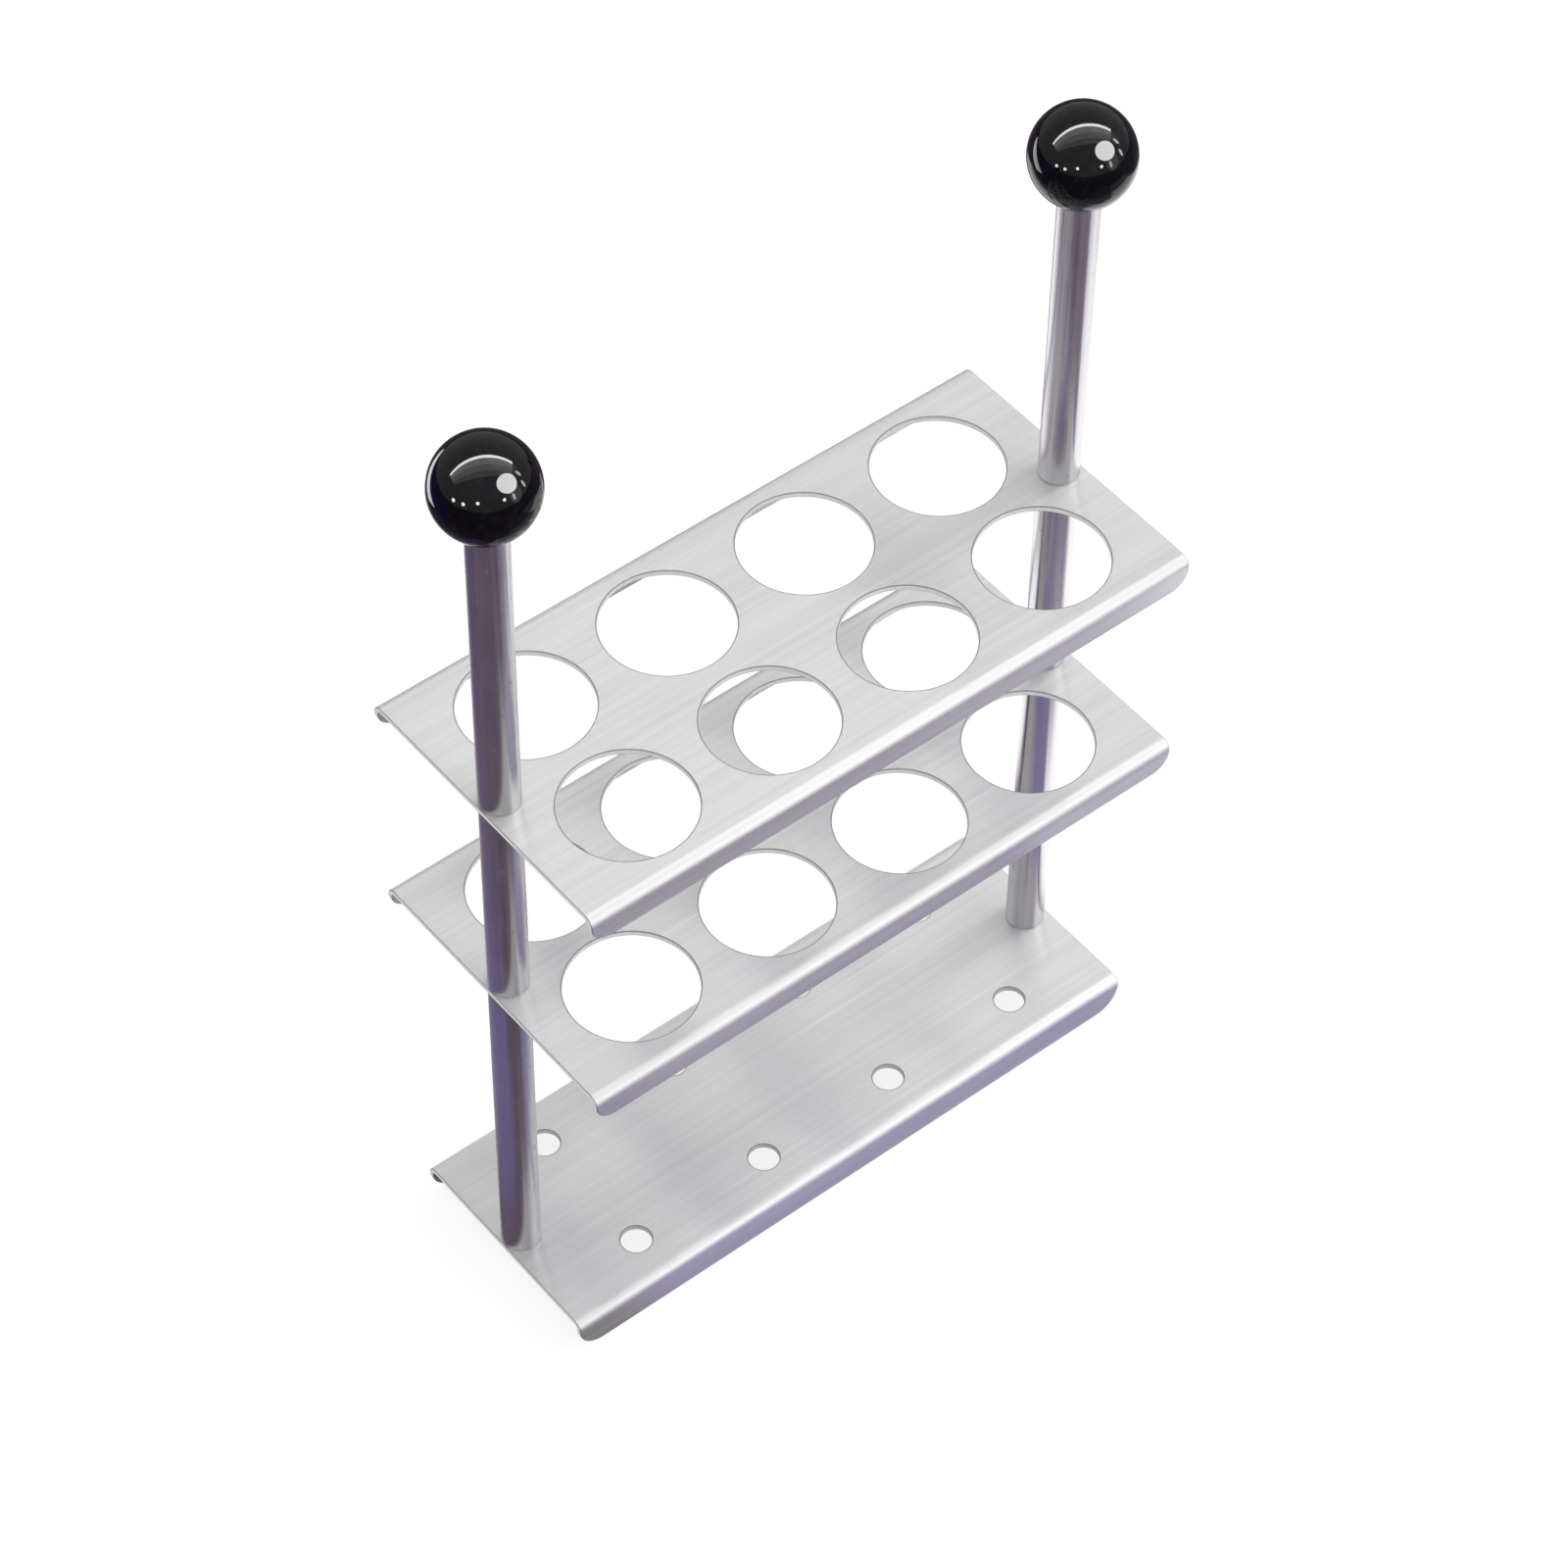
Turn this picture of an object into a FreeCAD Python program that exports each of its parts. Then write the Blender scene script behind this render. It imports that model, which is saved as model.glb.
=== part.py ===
import FreeCAD, Part
import math
import os

import Sketcher

# Butyrometer rack: three folded sheet shelves on two upright rods, with a ball knob on each rod.
# Frame: origin on the bench under the middle of the base, +X along the shelves to the right,
# +Y to the rear, +Z up. Millimetres.

SIZES = {
    # Folded stainless sheet. The bend radius is the outer one.
    "sheet_thickness": 1.2,
    "bend_radius": 2.2,
    "shelf_length": 140.0,
    "seat_shelf_depth": 65.0,
    "seat_shelf_flange": 6.5,
    "base_depth": 50.0,
    "base_flange": 8.0,
    "corner_land": 0.1,
    # Two rows of four seats, each over a small hole in the base.
    "seat_diameter": 26.0,
    "seat_pitch_along": 32.4,
    "seat_pitch_across": 30.2,
    "seats_per_row": 4,
    "drain_diameter": 6.4,
    # Upright rods, one length between each pair of shelves and one above the top shelf.
    "rod_diameter": 8.0,
    "rod_from_end": 4.25,
    "lower_rod_length": 80.0,
    "middle_rod_length": 51.0,
    "handle_rod_length": 72.0,
    "rod_end_chamfer": 0.3,
    # M4 joints through the sheets. The clearances are on the radius.
    "stud_diameter": 4.0,
    "stud_engagement": 6.0,
    "stud_tip_chamfer": 0.4,
    "tapped_depth": 8.0,
    "drill_tip": 1.2,
    "thread_clearance": 0.05,
    "sheet_clearance": 0.15,
    # Ball knob on an M5 stud, with its moulded-in brass insert.
    "knob_diameter": 20.0,
    "knob_height": 18.0,
    "knob_stud_diameter": 5.0,
    "knob_stud_length": 7.0,
    "insert_diameter": 7.6,
    "insert_waist_diameter": 6.6,
    "insert_waist_start": 3.0,
    "insert_waist_end": 6.0,
    "insert_waist_taper": 0.5,
    "insert_height": 9.0,
    "insert_bore_depth": 8.0,
    # Button head screw and small washer that hold the lower rod from under the base.
    "head_diameter": 7.6,
    "head_height": 2.2,
    "head_rim": 0.3,
    "socket_width": 2.5,
    "socket_depth": 1.3,
    "washer_diameter": 8.0,
    "washer_thickness": 0.5,
}

SIDES = {"left": -1, "right": 1}
ROD_PLACE = "( shelf_length / 2 - rod_from_end )"

document = FreeCAD.newDocument("ButyrometerRack")
sheet = document.addObject("Spreadsheet::Sheet", "Sizes")
for row, (alias, size) in enumerate(SIZES.items(), start=1):
    sheet.set(f"A{row}", alias.replace("_", " "))
    sheet.set(f"B{row}", str(size))
    sheet.setAlias(f"B{row}", alias)
document.recompute()


def bound(formula):
    """Return the formula with each size named as a cell of the sheet."""
    words = []
    for word in formula.split():
        name = word.strip("()-+,")
        words.append(word.replace(name, f"Sizes.{name}") if name in SIZES else word)
    return " ".join(words)


def value_of(formula):
    """Return the number that a formula in the sheet's sizes comes to."""
    result = sheet.evalExpression(bound(formula))
    return float(getattr(result, "Value", result))


def bind(thing, path, formula):
    """Bind one property of an object to a formula in the sheet's sizes."""
    thing.setExpression(path, bound(formula))


def new_body(name):
    """Return a new body with the given name and label."""
    body = document.addObject("PartDesign::Body", name)
    body.Label = name
    return body


def new_sketch(body, name, role):
    """Return a sketch on one of the body's own origin planes."""
    plane = next(item for item in body.Origin.OriginFeatures if item.Role == role)
    sketch = body.newObject("Sketcher::SketchObject", name)
    sketch.AttachmentSupport = (plane, [""])
    sketch.MapMode = "FlatFace"
    return sketch


def pin_point(sketch, geometry, point, across, up):
    """Hold one point of a sketch at a place given by two formulas."""
    for kind, formula, axis in (("DistanceX", across, -2), ("DistanceY", up, -1)):
        distance = value_of(formula)
        if abs(distance) < 1e-9:
            sketch.addConstraint(Sketcher.Constraint("PointOnObject", geometry, point, axis))
            continue
        ends = (-1, 1, geometry, point) if distance > 0 else (geometry, point, -1, 1)
        signed = formula if distance > 0 else f"-( {formula} )"
        index = sketch.addConstraint(Sketcher.Constraint(kind, *ends, abs(distance)))
        bind(sketch, f"Constraints[{index}]", signed)


def arc_between(start, end, radius, turn):
    """Return the arc of less than half a circle from start to end, turning left (1) or right (-1)."""
    chord = end - start
    height = math.sqrt(max(radius ** 2 - (chord.Length / 2) ** 2, 0.0))
    sideways = FreeCAD.Vector(-chord.y, chord.x, 0) / chord.Length
    centre = (start + end) / 2 + sideways * height * turn
    first, last = (start, end) if turn > 0 else (end, start)
    angles = [math.atan2(point.y - centre.y, point.x - centre.x) for point in (first, last)]
    if angles[1] < angles[0]:
        angles[1] += 2 * math.pi
    circle = Part.Circle(centre, FreeCAD.Vector(0, 0, 1), radius)
    return Part.ArcOfCircle(circle, *angles)


def draw_outline(sketch, corners):
    """Draw a closed outline whose corners and radii are bound to the sheet.

    Each corner is (across, up) where a straight edge leads on to the next corner, or
    (across, up, radius, turn) where an arc does.
    """
    places = [FreeCAD.Vector(value_of(corner[0]), value_of(corner[1]), 0) for corner in corners]
    joints = []
    for index, corner in enumerate(corners):
        start = places[index]
        end = places[(index + 1) % len(places)]
        if len(corner) == 2:
            geometry = sketch.addGeometry(Part.LineSegment(start, end))
            joints.append((geometry, 1, 2))
            continue
        radius, turn = corner[2:]
        geometry = sketch.addGeometry(arc_between(start, end, value_of(radius), turn))
        joints.append((geometry, 1, 2) if turn > 0 else (geometry, 2, 1))
    for index, (geometry, first, last) in enumerate(joints):
        following = joints[(index + 1) % len(joints)]
        sketch.addConstraint(
            Sketcher.Constraint("Coincident", geometry, last, following[0], following[1])
        )
    for (geometry, first, last), corner in zip(joints, corners):
        pin_point(sketch, geometry, first, corner[0], corner[1])
        if len(corner) == 4:
            index = sketch.addConstraint(
                Sketcher.Constraint("Radius", geometry, value_of(corner[2]))
            )
            bind(sketch, f"Constraints[{index}]", corner[2])


def draw_circle(sketch, across, up, diameter):
    """Draw a circle whose centre and diameter are bound to the sheet."""
    centre = FreeCAD.Vector(value_of(across), value_of(up), 0)
    circle = Part.Circle(centre, FreeCAD.Vector(0, 0, 1), value_of(diameter) / 2)
    geometry = sketch.addGeometry(circle)
    pin_point(sketch, geometry, 3, across, up)
    index = sketch.addConstraint(Sketcher.Constraint("Diameter", geometry, value_of(diameter)))
    bind(sketch, f"Constraints[{index}]", diameter)


def revolve(body, name, corners):
    """Turn an outline of (radius, height) corners round the body's own upright axis."""
    sketch = new_sketch(body, f"{name}Outline", "XZ_Plane")
    draw_outline(sketch, corners)
    turned = body.newObject("PartDesign::Revolution", name)
    turned.Profile = sketch
    turned.ReferenceAxis = (sketch, ["V_Axis"])
    turned.Angle = 360
    body.Tip = turned
    return turned


def cut_through(body, name, sketch):
    """Cut a sketch's outlines down through the sheet."""
    pocket = body.newObject("PartDesign::Pocket", name)
    pocket.Profile = sketch
    pocket.Type = "ThroughAll"
    body.Tip = pocket
    return pocket


def folded_shelf(name, depth, flange, hole_diameter, height):
    """Build one shelf: a flat sheet with its front and rear edges folded down.

    The body's origin lies in the middle of the upper face.
    """
    body = new_body(name)
    section = new_sketch(body, "FoldedSection", "YZ_Plane")
    inner = "bend_radius - sheet_thickness"
    draw_outline(section, [
        (f"-{depth} / 2", f"-{flange}"),
        (f"-{depth} / 2 + sheet_thickness", f"-{flange}"),
        (f"-{depth} / 2 + sheet_thickness", "-bend_radius", inner, -1),
        (f"-{depth} / 2 + bend_radius", "-sheet_thickness"),
        (f"{depth} / 2 - bend_radius", "-sheet_thickness", inner, -1),
        (f"{depth} / 2 - sheet_thickness", "-bend_radius"),
        (f"{depth} / 2 - sheet_thickness", f"-{flange}"),
        (f"{depth} / 2", f"-{flange}"),
        (f"{depth} / 2", "-bend_radius", "bend_radius", 1),
        (f"{depth} / 2 - bend_radius", "0"),
        (f"-{depth} / 2 + bend_radius", "0", "bend_radius", 1),
        (f"-{depth} / 2", "-bend_radius"),
    ])
    fold = body.newObject("PartDesign::Pad", "FoldedSheet")
    fold.Profile = section
    fold.Midplane = True
    bind(fold, "Length", "shelf_length")
    body.Tip = fold
    document.recompute()

    # The four lower corners of the flanges are rounded off over nearly their whole flat height.
    end = value_of("shelf_length / 2")
    bottom = value_of(f"-{flange}")
    corners = []
    for index, edge in enumerate(fold.Shape.Edges, start=1):
        box = edge.BoundBox
        at_end = abs(abs(box.Center.x) - end) < 1e-6 and box.XLength < 1e-6
        if at_end and abs(box.ZMax - bottom) < 1e-6:
            corners.append(f"Edge{index}")
    rounded = body.newObject("PartDesign::Fillet", "FlangeCorners")
    rounded.Base = (fold, corners)
    bind(rounded, "Radius", f"{flange} - bend_radius - corner_land")
    body.Tip = rounded
    document.recompute()

    # One pair of holes, front and rear, is repeated along the shelf.
    pair = new_sketch(body, "HolePair", "XY_Plane")
    first = "-( seats_per_row - 1 ) * seat_pitch_along / 2"
    for side in ("-", ""):
        draw_circle(pair, first, f"{side}seat_pitch_across / 2", hole_diameter)
    holes = cut_through(body, "FirstPair", pair)
    repeated = body.newObject("PartDesign::LinearPattern", "HoleRows")
    repeated.Originals = [holes]
    repeated.Direction = (pair, ["H_Axis"])
    bind(repeated, "Length", "( seats_per_row - 1 ) * seat_pitch_along")
    bind(repeated, "Occurrences", "seats_per_row")
    body.Tip = repeated

    fixings = new_sketch(body, "RodFixings", "XY_Plane")
    for side in ("-", ""):
        draw_circle(fixings, f"{side}{ROD_PLACE}", "0", "stud_diameter + 2 * sheet_clearance")
    cut_through(body, "FixingHoles", fixings)
    bind(body, ".Placement.Base.z", height)
    return body


def upright_rod(name, length, stud_diameter, stud_length, side, height):
    """Build one length of rod, tapped at its foot and with a threaded stud on its head.

    The body's origin lies in the middle of the foot.
    """
    body = new_body(name)
    tapped = "stud_diameter / 2 + thread_clearance"
    shoulder = f"{length} + {stud_length}"
    revolve(body, "TurnedRod", [
        (tapped, "0"),
        ("rod_diameter / 2 - rod_end_chamfer", "0"),
        ("rod_diameter / 2", "rod_end_chamfer"),
        ("rod_diameter / 2", f"{length} - rod_end_chamfer"),
        ("rod_diameter / 2 - rod_end_chamfer", length),
        (f"{stud_diameter} / 2", length),
        (f"{stud_diameter} / 2", f"{shoulder} - stud_tip_chamfer"),
        (f"{stud_diameter} / 2 - stud_tip_chamfer", shoulder),
        ("0", shoulder),
        ("0", "tapped_depth + drill_tip"),
        (tapped, "tapped_depth"),
    ])
    bind(body, ".Placement.Base.x", f"{SIDES[side]} * {ROD_PLACE}")
    bind(body, ".Placement.Base.z", height)
    return body


def insert_outside():
    """Return the outside of the brass insert, which is also the hollow it is moulded into."""
    wide = "insert_diameter / 2"
    narrow = "insert_waist_diameter / 2"
    return [
        (wide, "0"),
        (wide, "insert_waist_start"),
        (narrow, "insert_waist_start + insert_waist_taper"),
        (narrow, "insert_waist_end - insert_waist_taper"),
        (wide, "insert_waist_end"),
        (wide, "insert_height"),
        ("0", "insert_height"),
    ]


def ball_knob(name, side, height):
    """Build the ball of a knob, flat underneath and hollow where its insert is."""
    body = new_body(name)
    flat = "sqrt( knob_diameter ^ 2 / 4 - ( knob_height - knob_diameter / 2 ) ^ 2 )"
    hollow = insert_outside()
    revolve(body, "TurnedBall", [
        (flat, "0", "knob_diameter / 2", 1),
        ("0", "knob_height"),
        *reversed(hollow),
    ])
    bind(body, ".Placement.Base.x", f"{SIDES[side]} * {ROD_PLACE}")
    bind(body, ".Placement.Base.z", height)
    return body


def knob_insert(name, side, height):
    """Build the threaded brass insert of a knob."""
    body = new_body(name)
    bore = "knob_stud_diameter / 2 + thread_clearance"
    revolve(body, "TurnedInsert", [
        (bore, "0"),
        *insert_outside(),
        ("0", "insert_bore_depth"),
        (bore, "insert_bore_depth"),
    ])
    bind(body, ".Placement.Base.x", f"{SIDES[side]} * {ROD_PLACE}")
    bind(body, ".Placement.Base.z", height)
    return body


def foot_screw(name, side, height):
    """Build a button head screw that points up, with its origin under the washer."""
    body = new_body(name)
    shank = "washer_thickness + sheet_thickness + stud_engagement"
    dome = "head_height - head_rim"
    turned = revolve(body, "TurnedScrew", [
        ("0", "-head_height"),
        (f"head_diameter / 2 - ( {dome} )", "-head_height", dome, 1),
        ("head_diameter / 2", "-head_rim"),
        ("head_diameter / 2", "0"),
        ("stud_diameter / 2", "0"),
        ("stud_diameter / 2", f"{shank} - stud_tip_chamfer"),
        ("stud_diameter / 2 - stud_tip_chamfer", shank),
        ("0", shank),
    ])
    document.recompute()
    solid_volume = turned.Shape.Volume

    hexagon = new_sketch(body, "SocketOutline", "XY_Plane")
    bind(hexagon, ".AttachmentOffset.Base.z", "-head_height")
    corner = "socket_width / sqrt( 3 )"
    draw_outline(hexagon, [
        (corner, "0"),
        (f"{corner} / 2", "socket_width / 2"),
        (f"-{corner} / 2", "socket_width / 2"),
        (f"-{corner}", "0"),
        (f"-{corner} / 2", "-socket_width / 2"),
        (f"{corner} / 2", "-socket_width / 2"),
    ])
    socket = body.newObject("PartDesign::Pocket", "Socket")
    socket.Profile = hexagon
    socket.Reversed = True
    bind(socket, "Length", "socket_depth")
    body.Tip = socket
    document.recompute()
    if socket.Shape.Volume > solid_volume - 1.0:
        raise RuntimeError("the socket cut nothing out of the screw head")
    bind(body, ".Placement.Base.x", f"{SIDES[side]} * {ROD_PLACE}")
    bind(body, ".Placement.Base.z", height)
    return body


def foot_washer(name, side, height):
    """Build a small flat washer, with its origin in its lower face."""
    body = new_body(name)
    ring = new_sketch(body, "WasherOutline", "XY_Plane")
    draw_circle(ring, "0", "0", "washer_diameter")
    draw_circle(ring, "0", "0", "stud_diameter + 2 * sheet_clearance")
    disc = body.newObject("PartDesign::Pad", "WasherDisc")
    disc.Profile = ring
    bind(disc, "Length", "washer_thickness")
    body.Tip = disc
    bind(body, ".Placement.Base.x", f"{SIDES[side]} * {ROD_PLACE}")
    bind(body, ".Placement.Base.z", height)
    return body


# Heights of the upper faces of the shelves and of the flat under each knob.
BASE_TOP = "base_flange"
MIDDLE_TOP = f"{BASE_TOP} + lower_rod_length + sheet_thickness"
UPPER_TOP = f"{MIDDLE_TOP} + middle_rod_length + sheet_thickness"
KNOB_FLAT = f"{UPPER_TOP} + handle_rod_length"

seat_shelf = ("seat_shelf_depth", "seat_shelf_flange", "seat_diameter")
parts = [
    folded_shelf("base_shelf", "base_depth", "base_flange", "drain_diameter", BASE_TOP),
    folded_shelf("middle_shelf", *seat_shelf, MIDDLE_TOP),
    folded_shelf("top_shelf", *seat_shelf, UPPER_TOP),
]
through_sheet = "sheet_thickness + stud_engagement"
for side in SIDES:
    sheet_joint = ("stud_diameter", through_sheet, side)
    knob_joint = ("knob_stud_diameter", "knob_stud_length", side)
    washer_foot = f"{BASE_TOP} - sheet_thickness - washer_thickness"
    parts += [
        upright_rod(f"{side}_lower_rod", "lower_rod_length", *sheet_joint, BASE_TOP),
        upright_rod(f"{side}_middle_rod", "middle_rod_length", *sheet_joint, MIDDLE_TOP),
        upright_rod(f"{side}_handle_rod", "handle_rod_length", *knob_joint, UPPER_TOP),
        ball_knob(f"{side}_knob", side, KNOB_FLAT),
        knob_insert(f"{side}_knob_insert", side, KNOB_FLAT),
        foot_washer(f"{side}_foot_washer", side, washer_foot),
        foot_screw(f"{side}_foot_screw", side, washer_foot),
    ]
document.recompute()

for item in document.Objects:
    if "Invalid" in item.State or "Error" in item.State:
        raise RuntimeError(f"{item.Label} failed to build: {item.State}")
for part in parts:
    if part.Shape.isNull() or not part.Shape.isValid() or len(part.Shape.Solids) != 1:
        raise RuntimeError(f"{part.Label} is not one valid solid")

os.makedirs("parts", exist_ok=True)
for part in parts:
    part.Shape.exportStep(f"parts/{part.Label}.step")
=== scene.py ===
"""Looks of the butyrometer rack: three brushed sheet shelves on two polished rods with ball knobs.

Metres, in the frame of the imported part: origin on the bench under the middle of the base, +X along
the shelves to the right, +Y to the rear, +Z up.
"""

import logging
import math
from dataclasses import dataclass, field
from enum import Enum
from typing import Any

import bpy
import numpy as np
from mathutils import Matrix, Vector


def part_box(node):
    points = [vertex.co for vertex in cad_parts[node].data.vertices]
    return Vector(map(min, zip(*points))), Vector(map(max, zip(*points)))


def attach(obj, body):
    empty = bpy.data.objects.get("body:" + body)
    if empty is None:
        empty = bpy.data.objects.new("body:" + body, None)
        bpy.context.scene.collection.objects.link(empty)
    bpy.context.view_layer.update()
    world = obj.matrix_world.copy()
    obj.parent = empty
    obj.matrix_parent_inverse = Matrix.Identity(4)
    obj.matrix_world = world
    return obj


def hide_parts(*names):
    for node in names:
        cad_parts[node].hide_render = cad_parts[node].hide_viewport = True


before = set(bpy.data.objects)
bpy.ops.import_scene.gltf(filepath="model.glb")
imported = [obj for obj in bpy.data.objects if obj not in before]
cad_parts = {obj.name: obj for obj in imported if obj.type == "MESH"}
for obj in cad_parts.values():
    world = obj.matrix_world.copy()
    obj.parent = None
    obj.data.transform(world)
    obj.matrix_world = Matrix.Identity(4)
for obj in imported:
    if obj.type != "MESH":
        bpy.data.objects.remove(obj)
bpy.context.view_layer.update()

MM = 0.001
LOG = logging.getLogger("butyrometer_rack")

Triple = tuple[float, float, float]
Colour = Triple
Floats = np.ndarray

# Millimetres. The last is how far apart equal numbers may be after rounding.
SEAT_DIAMETER = 26.0
DRAIN_DIAMETER = 6.4
STUD_DIAMETER_AND_LENGTH = {"lower": (4.0, 7.2), "middle": (4.0, 7.2), "handle": (5.0, 7.0)}
ROUNDING_ERROR = 1e-6

# Metres. The knobs' own strip lamp hangs lower, because one at the same height would hide the other.
STRIP_ENDS = ((-2.10, 1.63, 1.60), (1.68, -0.48, 1.60))
KNOB_STRIP_ENDS = ((-2.10, 1.63, 1.57), (1.68, -0.48, 1.57))


class Side(Enum):
    """The two ends of the rack, with the sign of X at each."""

    LEFT = -1
    RIGHT = 1

    @property
    def word(self) -> str:
        """Return the side's name as the CAD nodes spell it."""
        return self.name.lower()


class Slot(Enum):
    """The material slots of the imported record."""

    SHEET = "brushed_sheet"
    ROD = "polished_rod"
    KNOB = "black_phenolic"


# shader helpers


class Value:
    """A number in a node tree, which Python operators extend with Math nodes."""

    def __init__(self, tree: "Tree", source: Any) -> None:
        """Keep the tree and the socket that carries the number.

        Args:
            tree: the node tree that the number lives in.
            source: an output socket.
        """
        self.tree = tree
        self.source = source

    def _math(self, operation: str, *terms: Any) -> "Value":
        """Return the result of one Math node on the given terms."""
        inputs = {index: term for index, term in enumerate(terms)}
        return Value(self.tree, self.tree.node("ShaderNodeMath", {"operation": operation}, inputs))

    def __add__(self, other: Any) -> "Value":
        """Return self + other."""
        return self._math("ADD", self, other)

    def __radd__(self, other: Any) -> "Value":
        """Return other + self."""
        return self._math("ADD", other, self)

    def __sub__(self, other: Any) -> "Value":
        """Return self - other."""
        return self._math("SUBTRACT", self, other)

    def __rsub__(self, other: Any) -> "Value":
        """Return other - self."""
        return self._math("SUBTRACT", other, self)

    def __mul__(self, other: Any) -> "Value":
        """Return self * other."""
        return self._math("MULTIPLY", self, other)

    def __rmul__(self, other: Any) -> "Value":
        """Return other * self."""
        return self._math("MULTIPLY", other, self)

    def __truediv__(self, other: Any) -> "Value":
        """Return self / other."""
        return self._math("DIVIDE", self, other)

    def larger(self, other: Any) -> "Value":
        """Return the larger of self and other."""
        return self._math("MAXIMUM", self, other)

    def smaller(self, other: Any) -> "Value":
        """Return the smaller of self and other."""
        return self._math("MINIMUM", self, other)

    def power(self, exponent: Any) -> "Value":
        """Return self to the given power."""
        return self._math("POWER", self, exponent)

    def between(self, low: float, high: float) -> "Value":
        """Return 0 below low, 1 above high and a smooth step between them.

        Args:
            low: the value at which the step starts.
            high: the value at which the step ends.

        Returns:
            The smooth step.
        """
        settings = {"interpolation_type": "SMOOTHSTEP"}
        inputs = {"Value": self, "From Min": low, "From Max": high}
        return Value(self.tree, self.tree.node("ShaderNodeMapRange", settings, inputs))


class Tree:
    """A node tree with one method that makes any node."""

    def __init__(self, owner: Any) -> None:
        """Empty the owner's tree and keep it.

        Args:
            owner: a material or a world.
        """
        owner.use_nodes = True
        world = isinstance(owner, bpy.types.World)
        self.ending = "ShaderNodeOutputWorld" if world else "ShaderNodeOutputMaterial"
        self.tree = owner.node_tree
        self.tree.nodes.clear()

    def node(
        self, kind: str, settings: dict[str, Any] | None = None, inputs: dict[Any, Any] | None = None,
        output: str | int = 0,
    ) -> Any:
        """Make one node, set it up and link it.

        Args:
            kind: the node's type.
            settings: the node's own properties, set before its sockets.
            inputs: a value, colour, socket or Value for each input, by name or number.
            output: which output socket to return.

        Returns:
            The output socket asked for, or the node itself where it has none.
        """
        made = self.tree.nodes.new(kind)
        for name, setting in (settings or {}).items():
            setattr(made, name, setting)
        for key, given in (inputs or {}).items():
            socket = made.inputs[key]
            if isinstance(given, Value):
                given = given.source
            if isinstance(given, bpy.types.NodeSocket):
                self.tree.links.new(given, socket)
            elif isinstance(given, tuple) and socket.type == "RGBA" and len(given) == 3:
                socket.default_value = (*given, 1.0)
            else:
                socket.default_value = given
        return made.outputs[output] if made.outputs else made

    def value(self, kind: str, settings: dict[str, Any] | None = None,
              inputs: dict[Any, Any] | None = None, output: str | int = 0) -> Value:
        """Make one node and return its output as a number.

        Args:
            kind: the node's type.
            settings: the node's own properties.
            inputs: a value or link for each input.
            output: which output to return.

        Returns:
            The output as a Value.
        """
        return Value(self, self.node(kind, settings, inputs, output))

    def mix_colour(self, factor: Any, first: Any, second: Any) -> Any:
        """Return the colour that goes from first to second as factor goes from 0 to 1.

        Args:
            factor: a number or Value.
            first: the colour at 0.
            second: the colour at 1.

        Returns:
            The mixed colour's socket.
        """
        made = self.tree.nodes.new("ShaderNodeMix")
        made.data_type = "RGBA"
        for index, given in ((0, factor), (6, first), (7, second)):
            given = given.source if isinstance(given, Value) else given
            if isinstance(given, bpy.types.NodeSocket):
                self.tree.links.new(given, made.inputs[index])
            else:
                made.inputs[index].default_value = (*given, 1.0) if index else given
        return made.outputs[2]

    def stretched_noise(self, scale: Triple, detail: float, roughness: float = 0.5,
                        distortion: float = 0.0, shift: float = 0.0) -> Value:
        """Return a noise on object coordinates, stretched by a scale on each axis.

        Args:
            scale: cells of noise to the metre along X, Y and Z.
            detail: octaves of noise.
            roughness: weight of the finer octaves.
            distortion: how far the noise is warped by itself.
            shift: where in the noise the pattern starts, in cells.

        Returns:
            The noise, from 0 to 1 about a middle of 0.5.
        """
        place = self.node("ShaderNodeTexCoord", output="Object")
        vector = self.node(
            "ShaderNodeMapping", {"vector_type": "POINT"},
            {"Vector": place, "Location": (shift, shift, shift), "Scale": scale},
        )
        inputs = {"Vector": vector, "Scale": 1.0, "Detail": detail, "Roughness": roughness,
                  "Distortion": distortion}
        return self.value("ShaderNodeTexNoise", {"noise_dimensions": "3D"}, inputs)

    def toned(self, tone: Value, dark: Colour, light: Colour) -> Any:
        """Return the colour that goes from dark to light as tone goes from 0 to 1, and no further."""
        return self.mix_colour(tone.larger(0.0).smaller(1.0), dark, light)

    def relief(self, height: Value, distance: float) -> Any:
        """Return the normal of a surface that rises by distance, in metres, where height is 1."""
        return self.node("ShaderNodeBump", None, {"Strength": 1.0, "Distance": distance, "Height": height})

    def surface(self, shader: Any) -> None:
        """Send a shader to the material's or world's output."""
        self.node(self.ending, None, {"Surface": shader})


# finishes


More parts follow.
